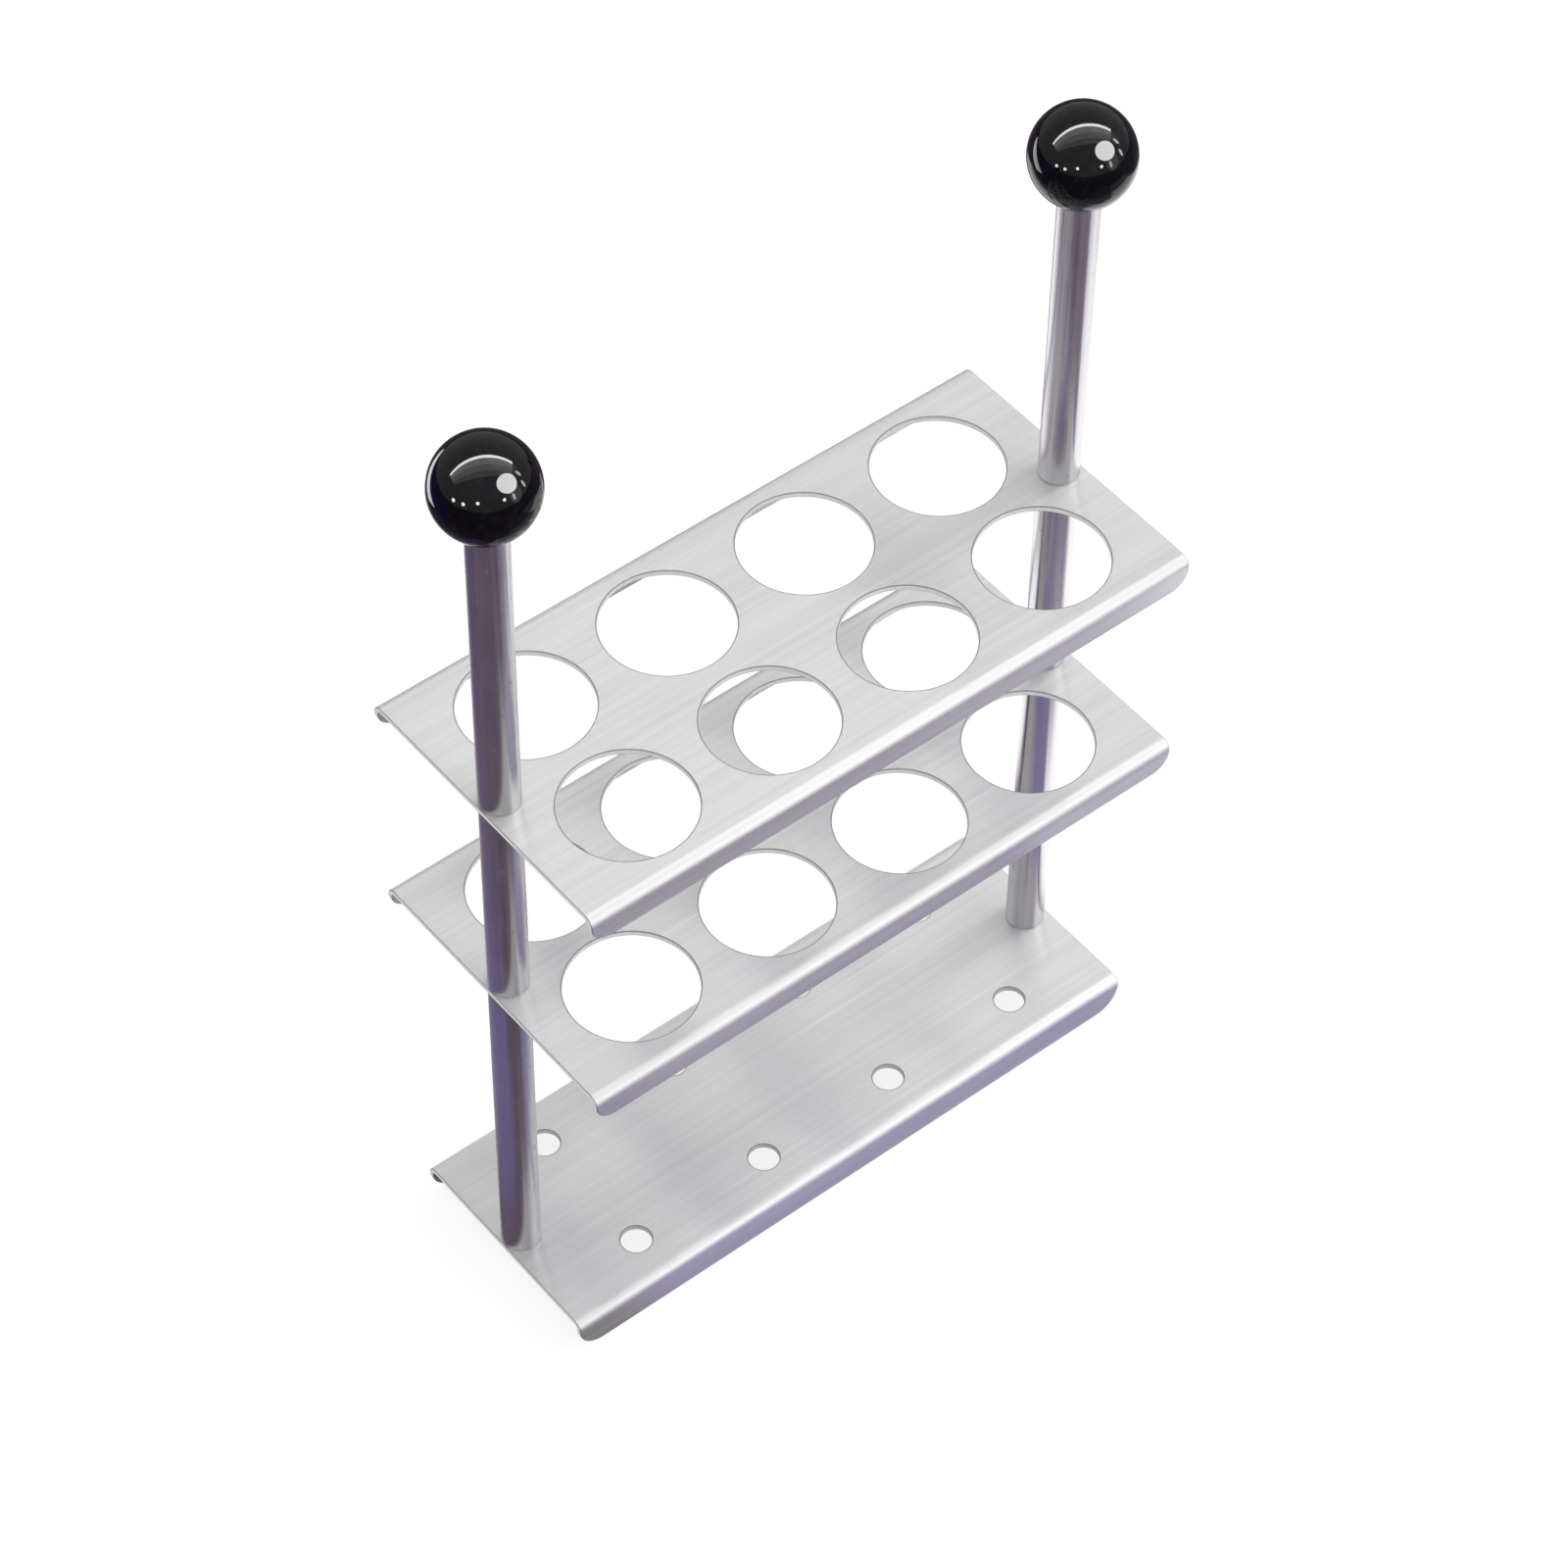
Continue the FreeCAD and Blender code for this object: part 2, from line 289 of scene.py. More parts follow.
@dataclass(frozen=True)
class BrushedSheet:
    """Stainless sheet brushed along X, with a fine grain, odd scratches and a faint mottle.

    The brushing leaves the sheet rough across X and smooth along it, so what it mirrors is smeared
    across the grain.
    """

    name: str = "brushed_stainless_sheet"
    dark: Colour = (0.70, 0.695, 0.70)
    light: Colour = (0.95, 0.95, 0.955)
    roughness: float = 0.31
    grain_relief: float = 0.0000020
    anisotropy: float = 1.0

    def material(self) -> bpy.types.Material:
        """Make the finish.

        Returns:
            Its Blender material.
        """
        made = bpy.data.materials.new(self.name)
        tree = Tree(made)
        grain = tree.stretched_noise((14.0, 3200.0, 3200.0), 3.0, 0.6)
        streaks = tree.stretched_noise((9.0, 760.0, 760.0), 2.0, 0.6, shift=31.0)
        lines = tree.stretched_noise((16.0, 1500.0, 1500.0), 1.0, 0.5, shift=57.0)
        mottle = tree.stretched_noise((30.0, 60.0, 60.0), 2.0, 0.5, shift=11.0)
        scratch_light = lines.between(0.70, 0.80)
        scratch_dark = 1 - lines.between(0.20, 0.30)
        tone = 0.5 + (grain - 0.5) * 0.45 + (streaks - 0.5) * 0.65 + (mottle - 0.5) * 0.4
        tone = tone + scratch_light * 0.6 - scratch_dark * 0.4
        colour = tree.toned(tone, self.dark, self.light)
        roughness = self.roughness + (streaks - 0.5) * 0.08 + (mottle - 0.5) * 0.06
        height = grain + streaks * 2.2 + scratch_light * 0.5 - scratch_dark * 0.5
        bump = tree.relief(height, self.grain_relief)
        along = tree.node("ShaderNodeCombineXYZ", None, {"X": 1.0, "Y": 0.0, "Z": 0.0})
        shader = tree.node("ShaderNodeBsdfPrincipled", None, {
            "Base Color": colour, "Metallic": 1.0, "Roughness": roughness, "Normal": bump,
            "Anisotropic": self.anisotropy, "Anisotropic Rotation": 0.25, "Tangent": along,
        })
        tree.surface(shader)
        return made


@dataclass(frozen=True)
class CutEdge:
    """The punched and sheared edge of the sheet, dull and a little torn across its thickness.

    Made darker and metallic, it is a painted shade line along the rounded edges and round each hole.
    """

    name: str = "cut_sheet_edge"
    dark: Colour = (0.82, 0.82, 0.82)
    light: Colour = (0.98, 0.98, 0.98)
    roughness: float = 0.60
    metallic: float = 0.0
    tear_relief: float = 0.000008

    def material(self) -> bpy.types.Material:
        """Make the finish.

        Returns:
            Its Blender material.
        """
        made = bpy.data.materials.new(self.name)
        tree = Tree(made)
        tear = tree.stretched_noise((1700.0, 1700.0, 260.0), 2.0, 0.5)
        cloud = tree.stretched_noise((160.0, 160.0, 160.0), 2.0, 0.5, shift=5.0)
        tone = 0.5 + (tear - 0.5) * 0.9 + (cloud - 0.5) * 0.5
        colour = tree.toned(tone, self.dark, self.light)
        bump = tree.relief(tear, self.tear_relief)
        shader = tree.node("ShaderNodeBsdfPrincipled", None, {
            "Base Color": colour, "Metallic": self.metallic, "Normal": bump,
            "Roughness": self.roughness + (cloud - 0.5) * 0.12,
        })
        tree.surface(shader)
        return made


@dataclass(frozen=True)
class PolishedRod:
    """Ground and polished stainless bar, with fine rings round it, a faint draw and small nicks.

    The rings leave the bar rough along its axis and smooth round it, so what it mirrors is smeared
    into lengthwise strips.
    """

    name: str = "polished_stainless_rod"
    dark: Colour = (0.56, 0.545, 0.565)
    light: Colour = (0.74, 0.73, 0.74)
    roughness: float = 0.22
    anisotropy: float = 0.95
    draw_relief: float = 0.0000012

    def material(self) -> bpy.types.Material:
        """Make the finish.

        Returns:
            Its Blender material.
        """
        made = bpy.data.materials.new(self.name)
        tree = Tree(made)
        draw = tree.stretched_noise((1500.0, 1500.0, 22.0), 3.0, 0.6)
        cloud = tree.stretched_noise((260.0, 260.0, 110.0), 3.0, 0.6, shift=13.0)
        nicks = tree.stretched_noise((900.0, 900.0, 420.0), 1.0, 0.5, shift=71.0).between(0.70, 0.78)
        tone = 0.5 + (draw - 0.5) * 0.9 + (cloud - 0.5) * 0.8 - nicks * 0.4
        colour = tree.toned(tone, self.dark, self.light)
        roughness = self.roughness + (cloud - 0.5) * 0.08 + nicks * 0.10
        bump = tree.relief(draw + cloud * 2.0 - nicks * 1.5, self.draw_relief)
        along = tree.node("ShaderNodeCombineXYZ", None, {"X": 0.0, "Y": 0.0, "Z": 1.0})
        shader = tree.node("ShaderNodeBsdfPrincipled", None, {
            "Base Color": colour, "Metallic": 1.0, "Roughness": roughness, "Normal": bump,
            "Anisotropic": self.anisotropy, "Tangent": along,
        })
        tree.surface(shader)
        return made


@dataclass(frozen=True)
class BlackPhenolic:
    """Glossy black moulded phenolic, with a barely uneven skin and fine rubbing marks."""

    name: str = "black_phenolic"
    colour: Colour = (0.0006, 0.0006, 0.0009)
    worn: Colour = (0.0018, 0.0017, 0.0024)
    roughness: float = 0.04
    reflection: float = 0.24
    skin_relief: float = 0.000004

    def material(self) -> bpy.types.Material:
        """Make the finish.

        Returns:
            Its Blender material.
        """
        made = bpy.data.materials.new(self.name)
        tree = Tree(made)
        skin = tree.stretched_noise((240.0, 240.0, 240.0), 2.0, 0.45)
        rubbed = tree.stretched_noise((700.0, 700.0, 700.0), 3.0, 0.6, shift=23.0).between(0.45, 0.75)
        colour = tree.mix_colour(rubbed, self.colour, self.worn)
        bump = tree.relief(skin, self.skin_relief)
        shader = tree.node("ShaderNodeBsdfPrincipled", None, {
            "Base Color": colour, "Roughness": self.roughness + rubbed * 0.03, "Normal": bump,
            "IOR": 1.5, "Specular IOR Level": self.reflection,
        })
        tree.surface(shader)
        return made


@dataclass(frozen=True)
class TurnedMetal:
    """Small turned part, with fine rings round its axis and a little tarnish."""

    name: str
    dark: Colour
    light: Colour
    roughness: float = 0.3
    ring_relief: float = 0.000003

    def material(self) -> bpy.types.Material:
        """Make the finish.

        Returns:
            Its Blender material.
        """
        made = bpy.data.materials.new(self.name)
        tree = Tree(made)
        rings = tree.stretched_noise((500.0, 500.0, 4200.0), 2.0, 0.5)
        tarnish = tree.stretched_noise((420.0, 420.0, 420.0), 3.0, 0.6, shift=19.0)
        tone = 0.5 + (rings - 0.5) * 0.5 + (tarnish - 0.5) * 1.1
        colour = tree.toned(tone, self.dark, self.light)
        bump = tree.relief(rings, self.ring_relief)
        shader = tree.node("ShaderNodeBsdfPrincipled", None, {
            "Base Color": colour, "Metallic": 1.0, "Normal": bump,
            "Roughness": self.roughness + (tarnish - 0.5) * 0.2,
        })
        tree.surface(shader)
        return made


# surfaces


@dataclass
class Skin:
    """The surface of one piece, gathered patch by patch and welded where the patches meet."""

    points: list[Floats] = field(default_factory=list)
    normals: list[Floats] = field(default_factory=list)
    triangles: list[Floats] = field(default_factory=list)
    finishes: list[Floats] = field(default_factory=list)
    weld: float = 1e-7

    def add(self, points: Floats, normals: Floats, finish: int = 0) -> None:
        """Add a patch given on a grid of two parameters.

        Each cell of the grid is split into two triangles. They are turned over where they face
        against the patch's own normals.

        Args:
            points: rows x columns x 3 places.
            normals: the outward direction at each place.
            finish: which of the piece's finishes the patch has.
        """
        rows, columns = points.shape[:2]
        flat_points, flat_normals = points.reshape(-1, 3), normals.reshape(-1, 3)
        index = np.arange(rows * columns).reshape(rows, columns)
        a, b = index[:-1, :-1].ravel(), index[1:, :-1].ravel()
        c, d = index[1:, 1:].ravel(), index[:-1, 1:].ravel()
        triangles = np.concatenate((np.stack((a, b, c), 1), np.stack((a, c, d), 1)))
        corner = flat_points[triangles]
        facing = np.cross(corner[:, 1] - corner[:, 0], corner[:, 2] - corner[:, 0])
        if np.sum(facing * flat_normals[triangles[:, 0]]) < 0:
            triangles = triangles[:, ::-1]
        start = sum(len(block) for block in self.points)
        self.points.append(flat_points)
        self.normals.append(flat_normals)
        self.triangles.append(triangles + start)
        self.finishes.append(np.full(len(triangles), finish, np.int32))

    def build(self, name: str) -> bpy.types.Object:
        """Weld the patches into one closed mesh and return its object.

        Places that agree to a ten-thousandth of a millimetre become one vertex, and triangles
        that lose a side that way are dropped.

        Args:
            name: the name of the piece.

        Returns:
            The new object, at the origin.
        """
        points, normals = np.concatenate(self.points), np.concatenate(self.normals)
        triangles = np.concatenate(self.triangles)
        # The 0.37 keeps places at round numbers off the borders of the cells.
        keys = np.floor(points / self.weld + 0.37).astype(np.int64)
        _, first, inverse = np.unique(keys, axis=0, return_index=True, return_inverse=True)
        triangles = inverse.reshape(-1)[triangles]
        whole = (
            (triangles[:, 0] != triangles[:, 1])
            & (triangles[:, 1] != triangles[:, 2])
            & (triangles[:, 2] != triangles[:, 0])
        )
        finishes = np.concatenate(self.finishes)[whole]
        triangles, points, normals = triangles[whole], points[first], normals[first]
        mesh = bpy.data.meshes.new(name)
        mesh.vertices.add(len(points))
        mesh.vertices.foreach_set("co", points.astype(np.float32).ravel())
        mesh.loops.add(triangles.size)
        mesh.loops.foreach_set("vertex_index", triangles.astype(np.int32).ravel())
        mesh.polygons.add(len(triangles))
        mesh.polygons.foreach_set("loop_start", np.arange(0, triangles.size, 3, dtype=np.int32))
        mesh.polygons.foreach_set("use_smooth", np.ones(len(triangles), bool))
        mesh.polygons.foreach_set("material_index", finishes)
        mesh.update(calc_edges=True)
        mesh.normals_split_custom_set_from_vertices(normals.astype(np.float32).tolist())
        made = bpy.data.objects.new(name, mesh)
        bpy.context.scene.collection.objects.link(made)
        LOG.info("%s: %d triangles, %d open edges", name, len(triangles), open_edges(triangles))
        return made


def open_edges(triangles: Floats) -> int:
    """Count the edges that don't have exactly two triangles.

    Args:
        triangles: the three vertices of each triangle.

    Returns:
        How many such edges there are.
    """
    edges = np.concatenate((triangles[:, :2], triangles[:, 1:], triangles[:, ::2]))
    _, counts = np.unique(np.sort(edges, axis=1), axis=0, return_counts=True)
    return int(np.sum(counts != 2))


def rounded_outline(corners: list[tuple[float, float, float]], steps: int = 6) -> tuple[Floats, Floats]:
    """Round the corners of an open outline of (radius, height, rounding) corners.

    At a corner with rounding r between two straight runs that turn by an angle T, the arc's ends
    lie r * tan(T / 2) from the corner along each run, and its centre lies r inside them. A normal
    points to the right of the way that the outline is drawn.

    Args:
        corners: the outline's corners, in millimetres. Its two ends aren't rounded.
        steps: segments in each arc.

    Returns:
        The places and normals along the outline, each n x 2, in metres.
    """
    places = np.array([corner[:2] for corner in corners]) * MM
    runs = np.diff(places, axis=0)
    runs /= np.linalg.norm(runs, axis=1, keepdims=True)
    sides = np.stack((runs[:, 1], -runs[:, 0]), 1)
    points, normals = [places[:1]], [sides[:1]]
    share = np.linspace(0, 1, steps + 1)[:, None]
    for index in range(1, len(corners) - 1):
        before = sides[index - 1]
        way_in, way_out = runs[index - 1], runs[index]
        turn = math.atan2(way_in[0] * way_out[1] - way_in[1] * way_out[0], float(way_in @ way_out))
        radius = corners[index][2] * MM
        bend = 1.0 if turn > 0 else -1.0
        start = places[index] - way_in * radius * math.tan(abs(turn) / 2)
        centre = start - before * radius * bend
        angle = math.atan2(before[1], before[0]) + turn * share
        arc = np.concatenate((np.cos(angle), np.sin(angle)), 1)
        points.append(centre + arc * radius * bend)
        normals.append(arc)
    points.append(places[-1:])
    normals.append(sides[-1:])
    return np.concatenate(points), np.concatenate(normals)


def turned(skin: Skin, outline: tuple[Floats, Floats], across: float, height: float, steps: int) -> None:
    """Carry an outline once round an upright axis.

    A place is (across + r * cos A, r * sin A, height + z), where (r, z) runs along the outline and
    A once round.

    Args:
        skin: the piece that the surface is added to.
        outline: places and normals, each n x 2.
        across: the axis's X.
        height: the height of the outline's zero.
        steps: segments round the axis.
    """
    places, sides = outline
    angle = np.linspace(0, 2 * math.pi, steps + 1)
    angle[-1] = 0.0
    cosine, sine = np.cos(angle), np.sin(angle)
    radius, up = places[:, :1], places[:, 1:]
    points = np.stack((
        across + radius * cosine, radius * sine, np.broadcast_to(height + up, (len(places), steps + 1)),
    ), -1)
    normals = np.stack((
        sides[:, :1] * cosine, sides[:, :1] * sine,
        np.broadcast_to(sides[:, 1:], (len(places), steps + 1)),
    ), -1)
    skin.add(points, normals)


# the rack's own pieces


@dataclass
class FoldedShelf:
    """One shelf: a flat sheet with two rows of round holes and its long edges folded down."""

    name: str
    hole_diameter: float
    top: float
    length: float
    depth: float
    flange: float
    thickness: float = 1.2
    bend: float = 2.2
    corner_land: float = 0.1
    bend_land: float = 0.1
    pitch_along: float = 32.4
    pitch_across: float = 30.2
    seats: int = 4
    end_trim: float = 1.5
    rod_from_end: float = 4.25
    fixing_diameter: float = 4.3
    edge: float = 0.12
    edge_line: float = 0.12
    cell_steps: int = 24
    fixing_steps: int = 3
    hole_rings: int = 5
    ring_growth: float = 1.3
    bend_steps: int = 14
    corner_steps: int = 12
    edge_steps: int = 4

    @classmethod
    def from_cad(cls, name: str, hole_diameter: float) -> "FoldedShelf":
        """Size a shelf by its CAD node.

        Args:
            name: the node's name.
            hole_diameter: the diameter of its seats or drain holes, in millimetres.

        Returns:
            A shelf as long, deep and high as the node.
        """
        low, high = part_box(name)
        size = (high - low) / MM
        return cls(name, hole_diameter, high.z / MM, size.x, size.y, size.z)

    @property
    def corner(self) -> float:
        """Return the radius of the flanges' lower corners."""
        return self.flange - self.bend - self.corner_land

    @property
    def seat_row_width(self) -> float:
        """Return how far each row of seats reaches from the middle of the shelf."""
        return self.depth / 2 - self.bend - self.bend_land

    def column_lines(self) -> Floats:
        """Space the grid's lines along the shelf.

        Returns:
            The X of each line, from the left edge to the right one.
        """
        bounds = self.seat_bounds()
        end_lines = np.linspace(bounds[-1], self.length / 2 - self.edge, 2 * self.fixing_steps + 1)
        seat_lines = [np.linspace(a, b, self.cell_steps + 1) for a, b in zip(bounds, bounds[1:])]
        return np.unique(np.round(np.concatenate((-end_lines[::-1], *seat_lines, end_lines)), 9))

    def seat_bounds(self) -> list[float]:
        """Share a row's length out among its seats.

        Returns:
            The X of the borders between the seats.
        """
        last = self.seats * self.pitch_along / 2
        bounds = [self.pitch_along * k - last for k in range(self.seats + 1)]
        bounds[0], bounds[-1] = self.end_trim - last, last - self.end_trim
        return bounds

    def row_lines(self) -> Floats:
        """Return the Y of each line of the grid over the rear row of seats."""
        return np.linspace(0, self.seat_row_width, self.cell_steps + 1)

    def fold_rows(self, inset: float, sunk: float) -> tuple[Floats, Floats, Floats, Floats, Floats]:
        """Return the rows of the rear fold, from the flat sheet to the flange's lower edge.

        The rows go straight to the bend, round it by an angle A with radius bend - sunk, and down
        the flange. Over its rounded corners they follow an angle P: height = arc centre -
        (corner - inset) * sin P, and half width = length / 2 - corner + (corner - inset) * cos P.

        Args:
            inset: how far the row's ends lie inside the sheet's outline.
            sunk: how deep the row lies under the outer face.

        Returns:
            Y, Z, half width, the outer face's angle A and the outline's angle P of each row.
        """
        bend = np.linspace(0, math.pi / 2, self.bend_steps + 1)
        curve = np.linspace(0, math.pi / 2, self.corner_steps + 1)
        radius = self.bend - sunk
        middle = self.depth / 2 - self.bend
        y = np.concatenate((
            [self.seat_row_width], middle + radius * np.sin(bend),
            np.full(len(curve), self.depth / 2 - sunk),
        ))
        arc_height = -self.flange + self.corner
        z = np.concatenate((
            [-sunk], -self.bend + radius * np.cos(bend),
            arc_height - (self.corner - inset) * np.sin(curve),
        ))
        half = np.concatenate((
            np.full(len(bend) + 1, self.length / 2 - inset),
            self.length / 2 - self.corner + (self.corner - inset) * np.cos(curve),
        ))
        angle = np.concatenate(([0.0], bend, np.full(len(curve), math.pi / 2)))
        turn = np.concatenate((np.zeros(len(bend) + 1), curve))
        return y, z, half, angle, turn

    def face(self, skin: Skin, sunk: float, way: float) -> None:
        """Add the ends and folds of the outer or inner face, round the cells of its holes.

        Args:
            skin: the shelf's surface.
            sunk: how deep the face lies under the outer one.
            way: 1 for the outer face, and -1 for the inner one.
        """
        columns, rows = self.column_lines(), self.row_lines()
        inner = self.seat_bounds()[-1]
        end_columns = columns[columns > inner - ROUNDING_ERROR]
        for side in (-1, 1):
            for rear in (-1, 1):
                x, y = np.meshgrid(side * end_columns, rear * rows[self.fixing_steps:], indexing="ij")
                self._flat_patch(skin, x, y, sunk, way)
        y, z, half, angle, _ = self.fold_rows(self.edge, sunk)
        share = columns / columns[-1]
        for rear in (-1, 1):
            grid = (len(y), len(share))
            across, up, lean, rise = (
                np.broadcast_to(part[:, None], grid)
                for part in (rear * y, z, rear * np.sin(angle), np.cos(angle))
            )
            points = np.stack((half[:, None] * share, across, up), -1)
            slope = np.stack((np.zeros(grid), lean, rise), -1)
            skin.add(self._placed(points), slope * way)

    def _flat_patch(self, skin: Skin, x: Floats, y: Floats, sunk: float, way: float,
                    finish: int = 0) -> None:
        """Add a flat patch.

        Args:
            skin: the shelf's surface.
            x: the X of its places, on a grid.
            y: the Y of its places, on the same grid.
            sunk: how deep it lies under the upper face.
            way: 1 where it faces up, and -1 where it faces down.
            finish: which of the shelf's finishes it has.
        """
        points = np.stack((x, y, np.full(x.shape, -sunk)), -1)
        normals = np.zeros(points.shape)
        normals[..., 2] = way
        skin.add(self._placed(points), normals, finish)

    def _placed(self, points: Floats) -> Floats:
        """Return points of the shelf in metres at its own height."""
        return (points + np.array((0.0, 0.0, self.top))) * MM

    def hole(self, skin: Skin, centre: tuple[float, float], diameter: float,
             border: tuple[Floats, Floats]) -> None:
        """Add a round hole with the flat sheet round it, out to a rectangle.

        On each face a place is ring * (1 - T) + border * T, as T goes from 0 at the hole to 1 at
        the border. Through the sheet, radius = hole + edge * (1 - sin B) and depth = edge *
        (1 - cos B) round each rim, as B goes from 0 to a right angle.

        Args:
            skin: the shelf's surface.
            centre: the hole's X and Y.
            diameter: the hole's diameter.
            border: the X and Y of the rectangle's lines.
        """
        xs, ys = border
        loop = np.concatenate((
            np.stack((xs[:-1], np.full(len(xs) - 1, ys[0])), 1),
            np.stack((np.full(len(ys) - 1, xs[-1]), ys[:-1]), 1),
            np.stack((xs[:0:-1], np.full(len(xs) - 1, ys[-1])), 1),
            np.stack((np.full(len(ys) - 1, xs[0]), ys[:0:-1]), 1),
        ))
        loop = np.concatenate((loop, loop[:1]))
        spoke = loop - np.array(centre)
        spoke /= np.linalg.norm(spoke, axis=1, keepdims=True)
        radius = diameter / 2
        ring = np.array(centre) + spoke * (radius + self.edge)
        share = np.linspace(0, 1, self.hole_rings + 1)[:, None, None] ** self.ring_growth
        line = ring + spoke * self.edge_line
        flat = line * (1 - share) + loop * share
        for sunk, way in ((0.0, 1.0), (self.thickness, -1.0)):
            self._flat_patch(skin, flat[..., 0], flat[..., 1], sunk, way)
            # The narrow strip from ring to line takes finish 2, the painted shade line round the hole.
            self._flat_patch(skin, *np.moveaxis(np.stack((ring, line)), -1, 0), sunk, way, 2)
        angle = np.linspace(0, math.pi / 2, self.edge_steps + 1)
        out = np.concatenate((1 - np.sin(angle), (1 - np.sin(angle))[::-1])) * self.edge
        depth = np.concatenate((1 - np.cos(angle), self.thickness / self.edge - (1 - np.cos(angle))[::-1]))
        lean = np.concatenate((np.cos(angle), -np.cos(angle)[::-1]))
        wall = np.array(centre) + spoke * (radius + out)[:, None, None]
        column = wall.shape[:2] + (1,)
        up, rise = (np.broadcast_to(v[:, None, None], column) for v in (-depth * self.edge, lean))
        points = np.concatenate((wall, up), 2)
        normals = np.concatenate((-spoke * np.sqrt(1 - lean ** 2)[:, None, None], rise), 2)
        self._through(skin, points, normals)

    def _through(self, skin: Skin, points: Floats, normals: Floats) -> None:
        """Add a surface through the thickness: a cut face between two rounded edges.

        Args:
            skin: the shelf's surface.
            points: its places, with one row for each step through the thickness.
            normals: the outward direction at each place.
        """
        last = self.edge_steps + 1
        # The rounded edges take finish 2, the painted shade line, and the cut face between them finish 1.
        for rows, finish in ((slice(0, last), 2), (slice(last - 1, last + 1), 1), (slice(last, None), 2)):
            skin.add(self._placed(points[rows]), normals[rows], finish)

    def outline(self, inset: float, sunk: float) -> tuple[Floats, Floats, Floats]:
        """Return the loop round the sheet's edge, at an inset from its outline and a depth.

        It runs down the right end's rear fold, along the rear flange's lower edge to the left, up
        and over the left end, along the front flange's lower edge, and up to where it began.

        Args:
            inset: distance inside the sheet's outline.
            sunk: depth under the outer face.

        Returns:
            The places, the way out of the sheet, and the outer face's direction.
        """
        y, z, half, angle, turn = self.fold_rows(inset, sunk)
        columns = self.column_lines() / self.column_lines()[-1]
        flat_y = self.row_lines()
        zero = np.zeros(len(y))
        down = np.stack((half, y, z), 1)
        down_out = np.stack((np.cos(turn), zero, -np.sin(turn)), 1)
        down_face = np.stack((zero, np.sin(angle), np.cos(angle)), 1)
        low_y, low_z = (np.full(len(columns), v[-1]) for v in (y, z))
        low = np.stack((columns[::-1] * half[-1], low_y, low_z), 1)
        low_out = np.tile((0.0, 0.0, -1.0), (len(low), 1))
        low_face = np.tile((0.0, 1.0, 0.0), (len(low), 1))
        over = np.stack((np.full(len(flat_y), half[0]), flat_y, np.full(len(flat_y), z[0])), 1)
        over_out = np.tile((1.0, 0.0, 0.0), (len(over), 1))
        over_face = np.tile((0.0, 0.0, 1.0), (len(over), 1))
        quarter = [np.concatenate(parts) for parts in (
            (over[:-1], down[:-1], low[: len(low) // 2 + 1]),
            (over_out[:-1], down_out[:-1], low_out[: len(low) // 2 + 1]),
            (over_face[:-1], down_face[:-1], low_face[: len(low) // 2 + 1]),
        )]
        return quarter[0], quarter[1], quarter[2]

    def rim(self, skin: Skin) -> None:
        """Add the sheet's thickness all round, with a small rounding along both of its edges.

        Across the thickness, inset = edge * (1 - sin B) and depth = edge * (1 - cos B), as B goes
        from 0 to a right angle, and the same backwards at the inner face.

        Args:
            skin: the shelf's surface.
        """
        angle = np.linspace(0, math.pi / 2, self.edge_steps + 1)
        steps = [(self.edge * (1 - math.sin(b)), self.edge * (1 - math.cos(b)), math.cos(b)) for b in angle]
        steps += [(inset, self.thickness - sunk, -lean) for inset, sunk, lean in reversed(steps)]
        rings = [(self.outline(inset, sunk), lean) for inset, sunk, lean in steps]
        points = np.stack([ring[0] for ring, _ in rings])
        normals = np.stack([
            ring[1] * math.sqrt(1 - lean ** 2) + ring[2] * lean for ring, lean in rings
        ])
        for mirror in ((1, 1), (-1, 1), (1, -1), (-1, -1)):
            sign = np.array((*mirror, 1.0))
            self._through(skin, points * sign, normals * sign)

    def build(self) -> bpy.types.Object:
        """Make the whole sheet.

        Returns:
            The finished shelf.
        """
        skin = Skin()
        self.face(skin, 0.0, 1.0)
        self.face(skin, self.thickness, -1.0)
        rows, columns, bounds = self.row_lines(), self.column_lines(), self.seat_bounds()
        for seat, (start, stop) in enumerate(zip(bounds, bounds[1:])):
            across = (seat - (self.seats - 1) / 2) * self.pitch_along
            after, before = columns > start - ROUNDING_ERROR, columns < stop + ROUNDING_ERROR
            inside = columns[after & before]
            for rear in (-1, 1):
                border = (inside, rear * rows)
                self.hole(skin, (across, rear * self.pitch_across / 2), self.hole_diameter, border)
        near = rows[: self.fixing_steps + 1]
        middle = np.concatenate((-near[:0:-1], near))
        ends = columns[columns > bounds[-1] - ROUNDING_ERROR]
        for side in (-1, 1):
            place = side * (self.length / 2 - self.rod_from_end)
            self.hole(skin, (place, 0.0), self.fixing_diameter, (side * ends, middle))
        self.rim(skin)
        made = skin.build(f"{self.name}_sheet")
        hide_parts(self.name)
        return made


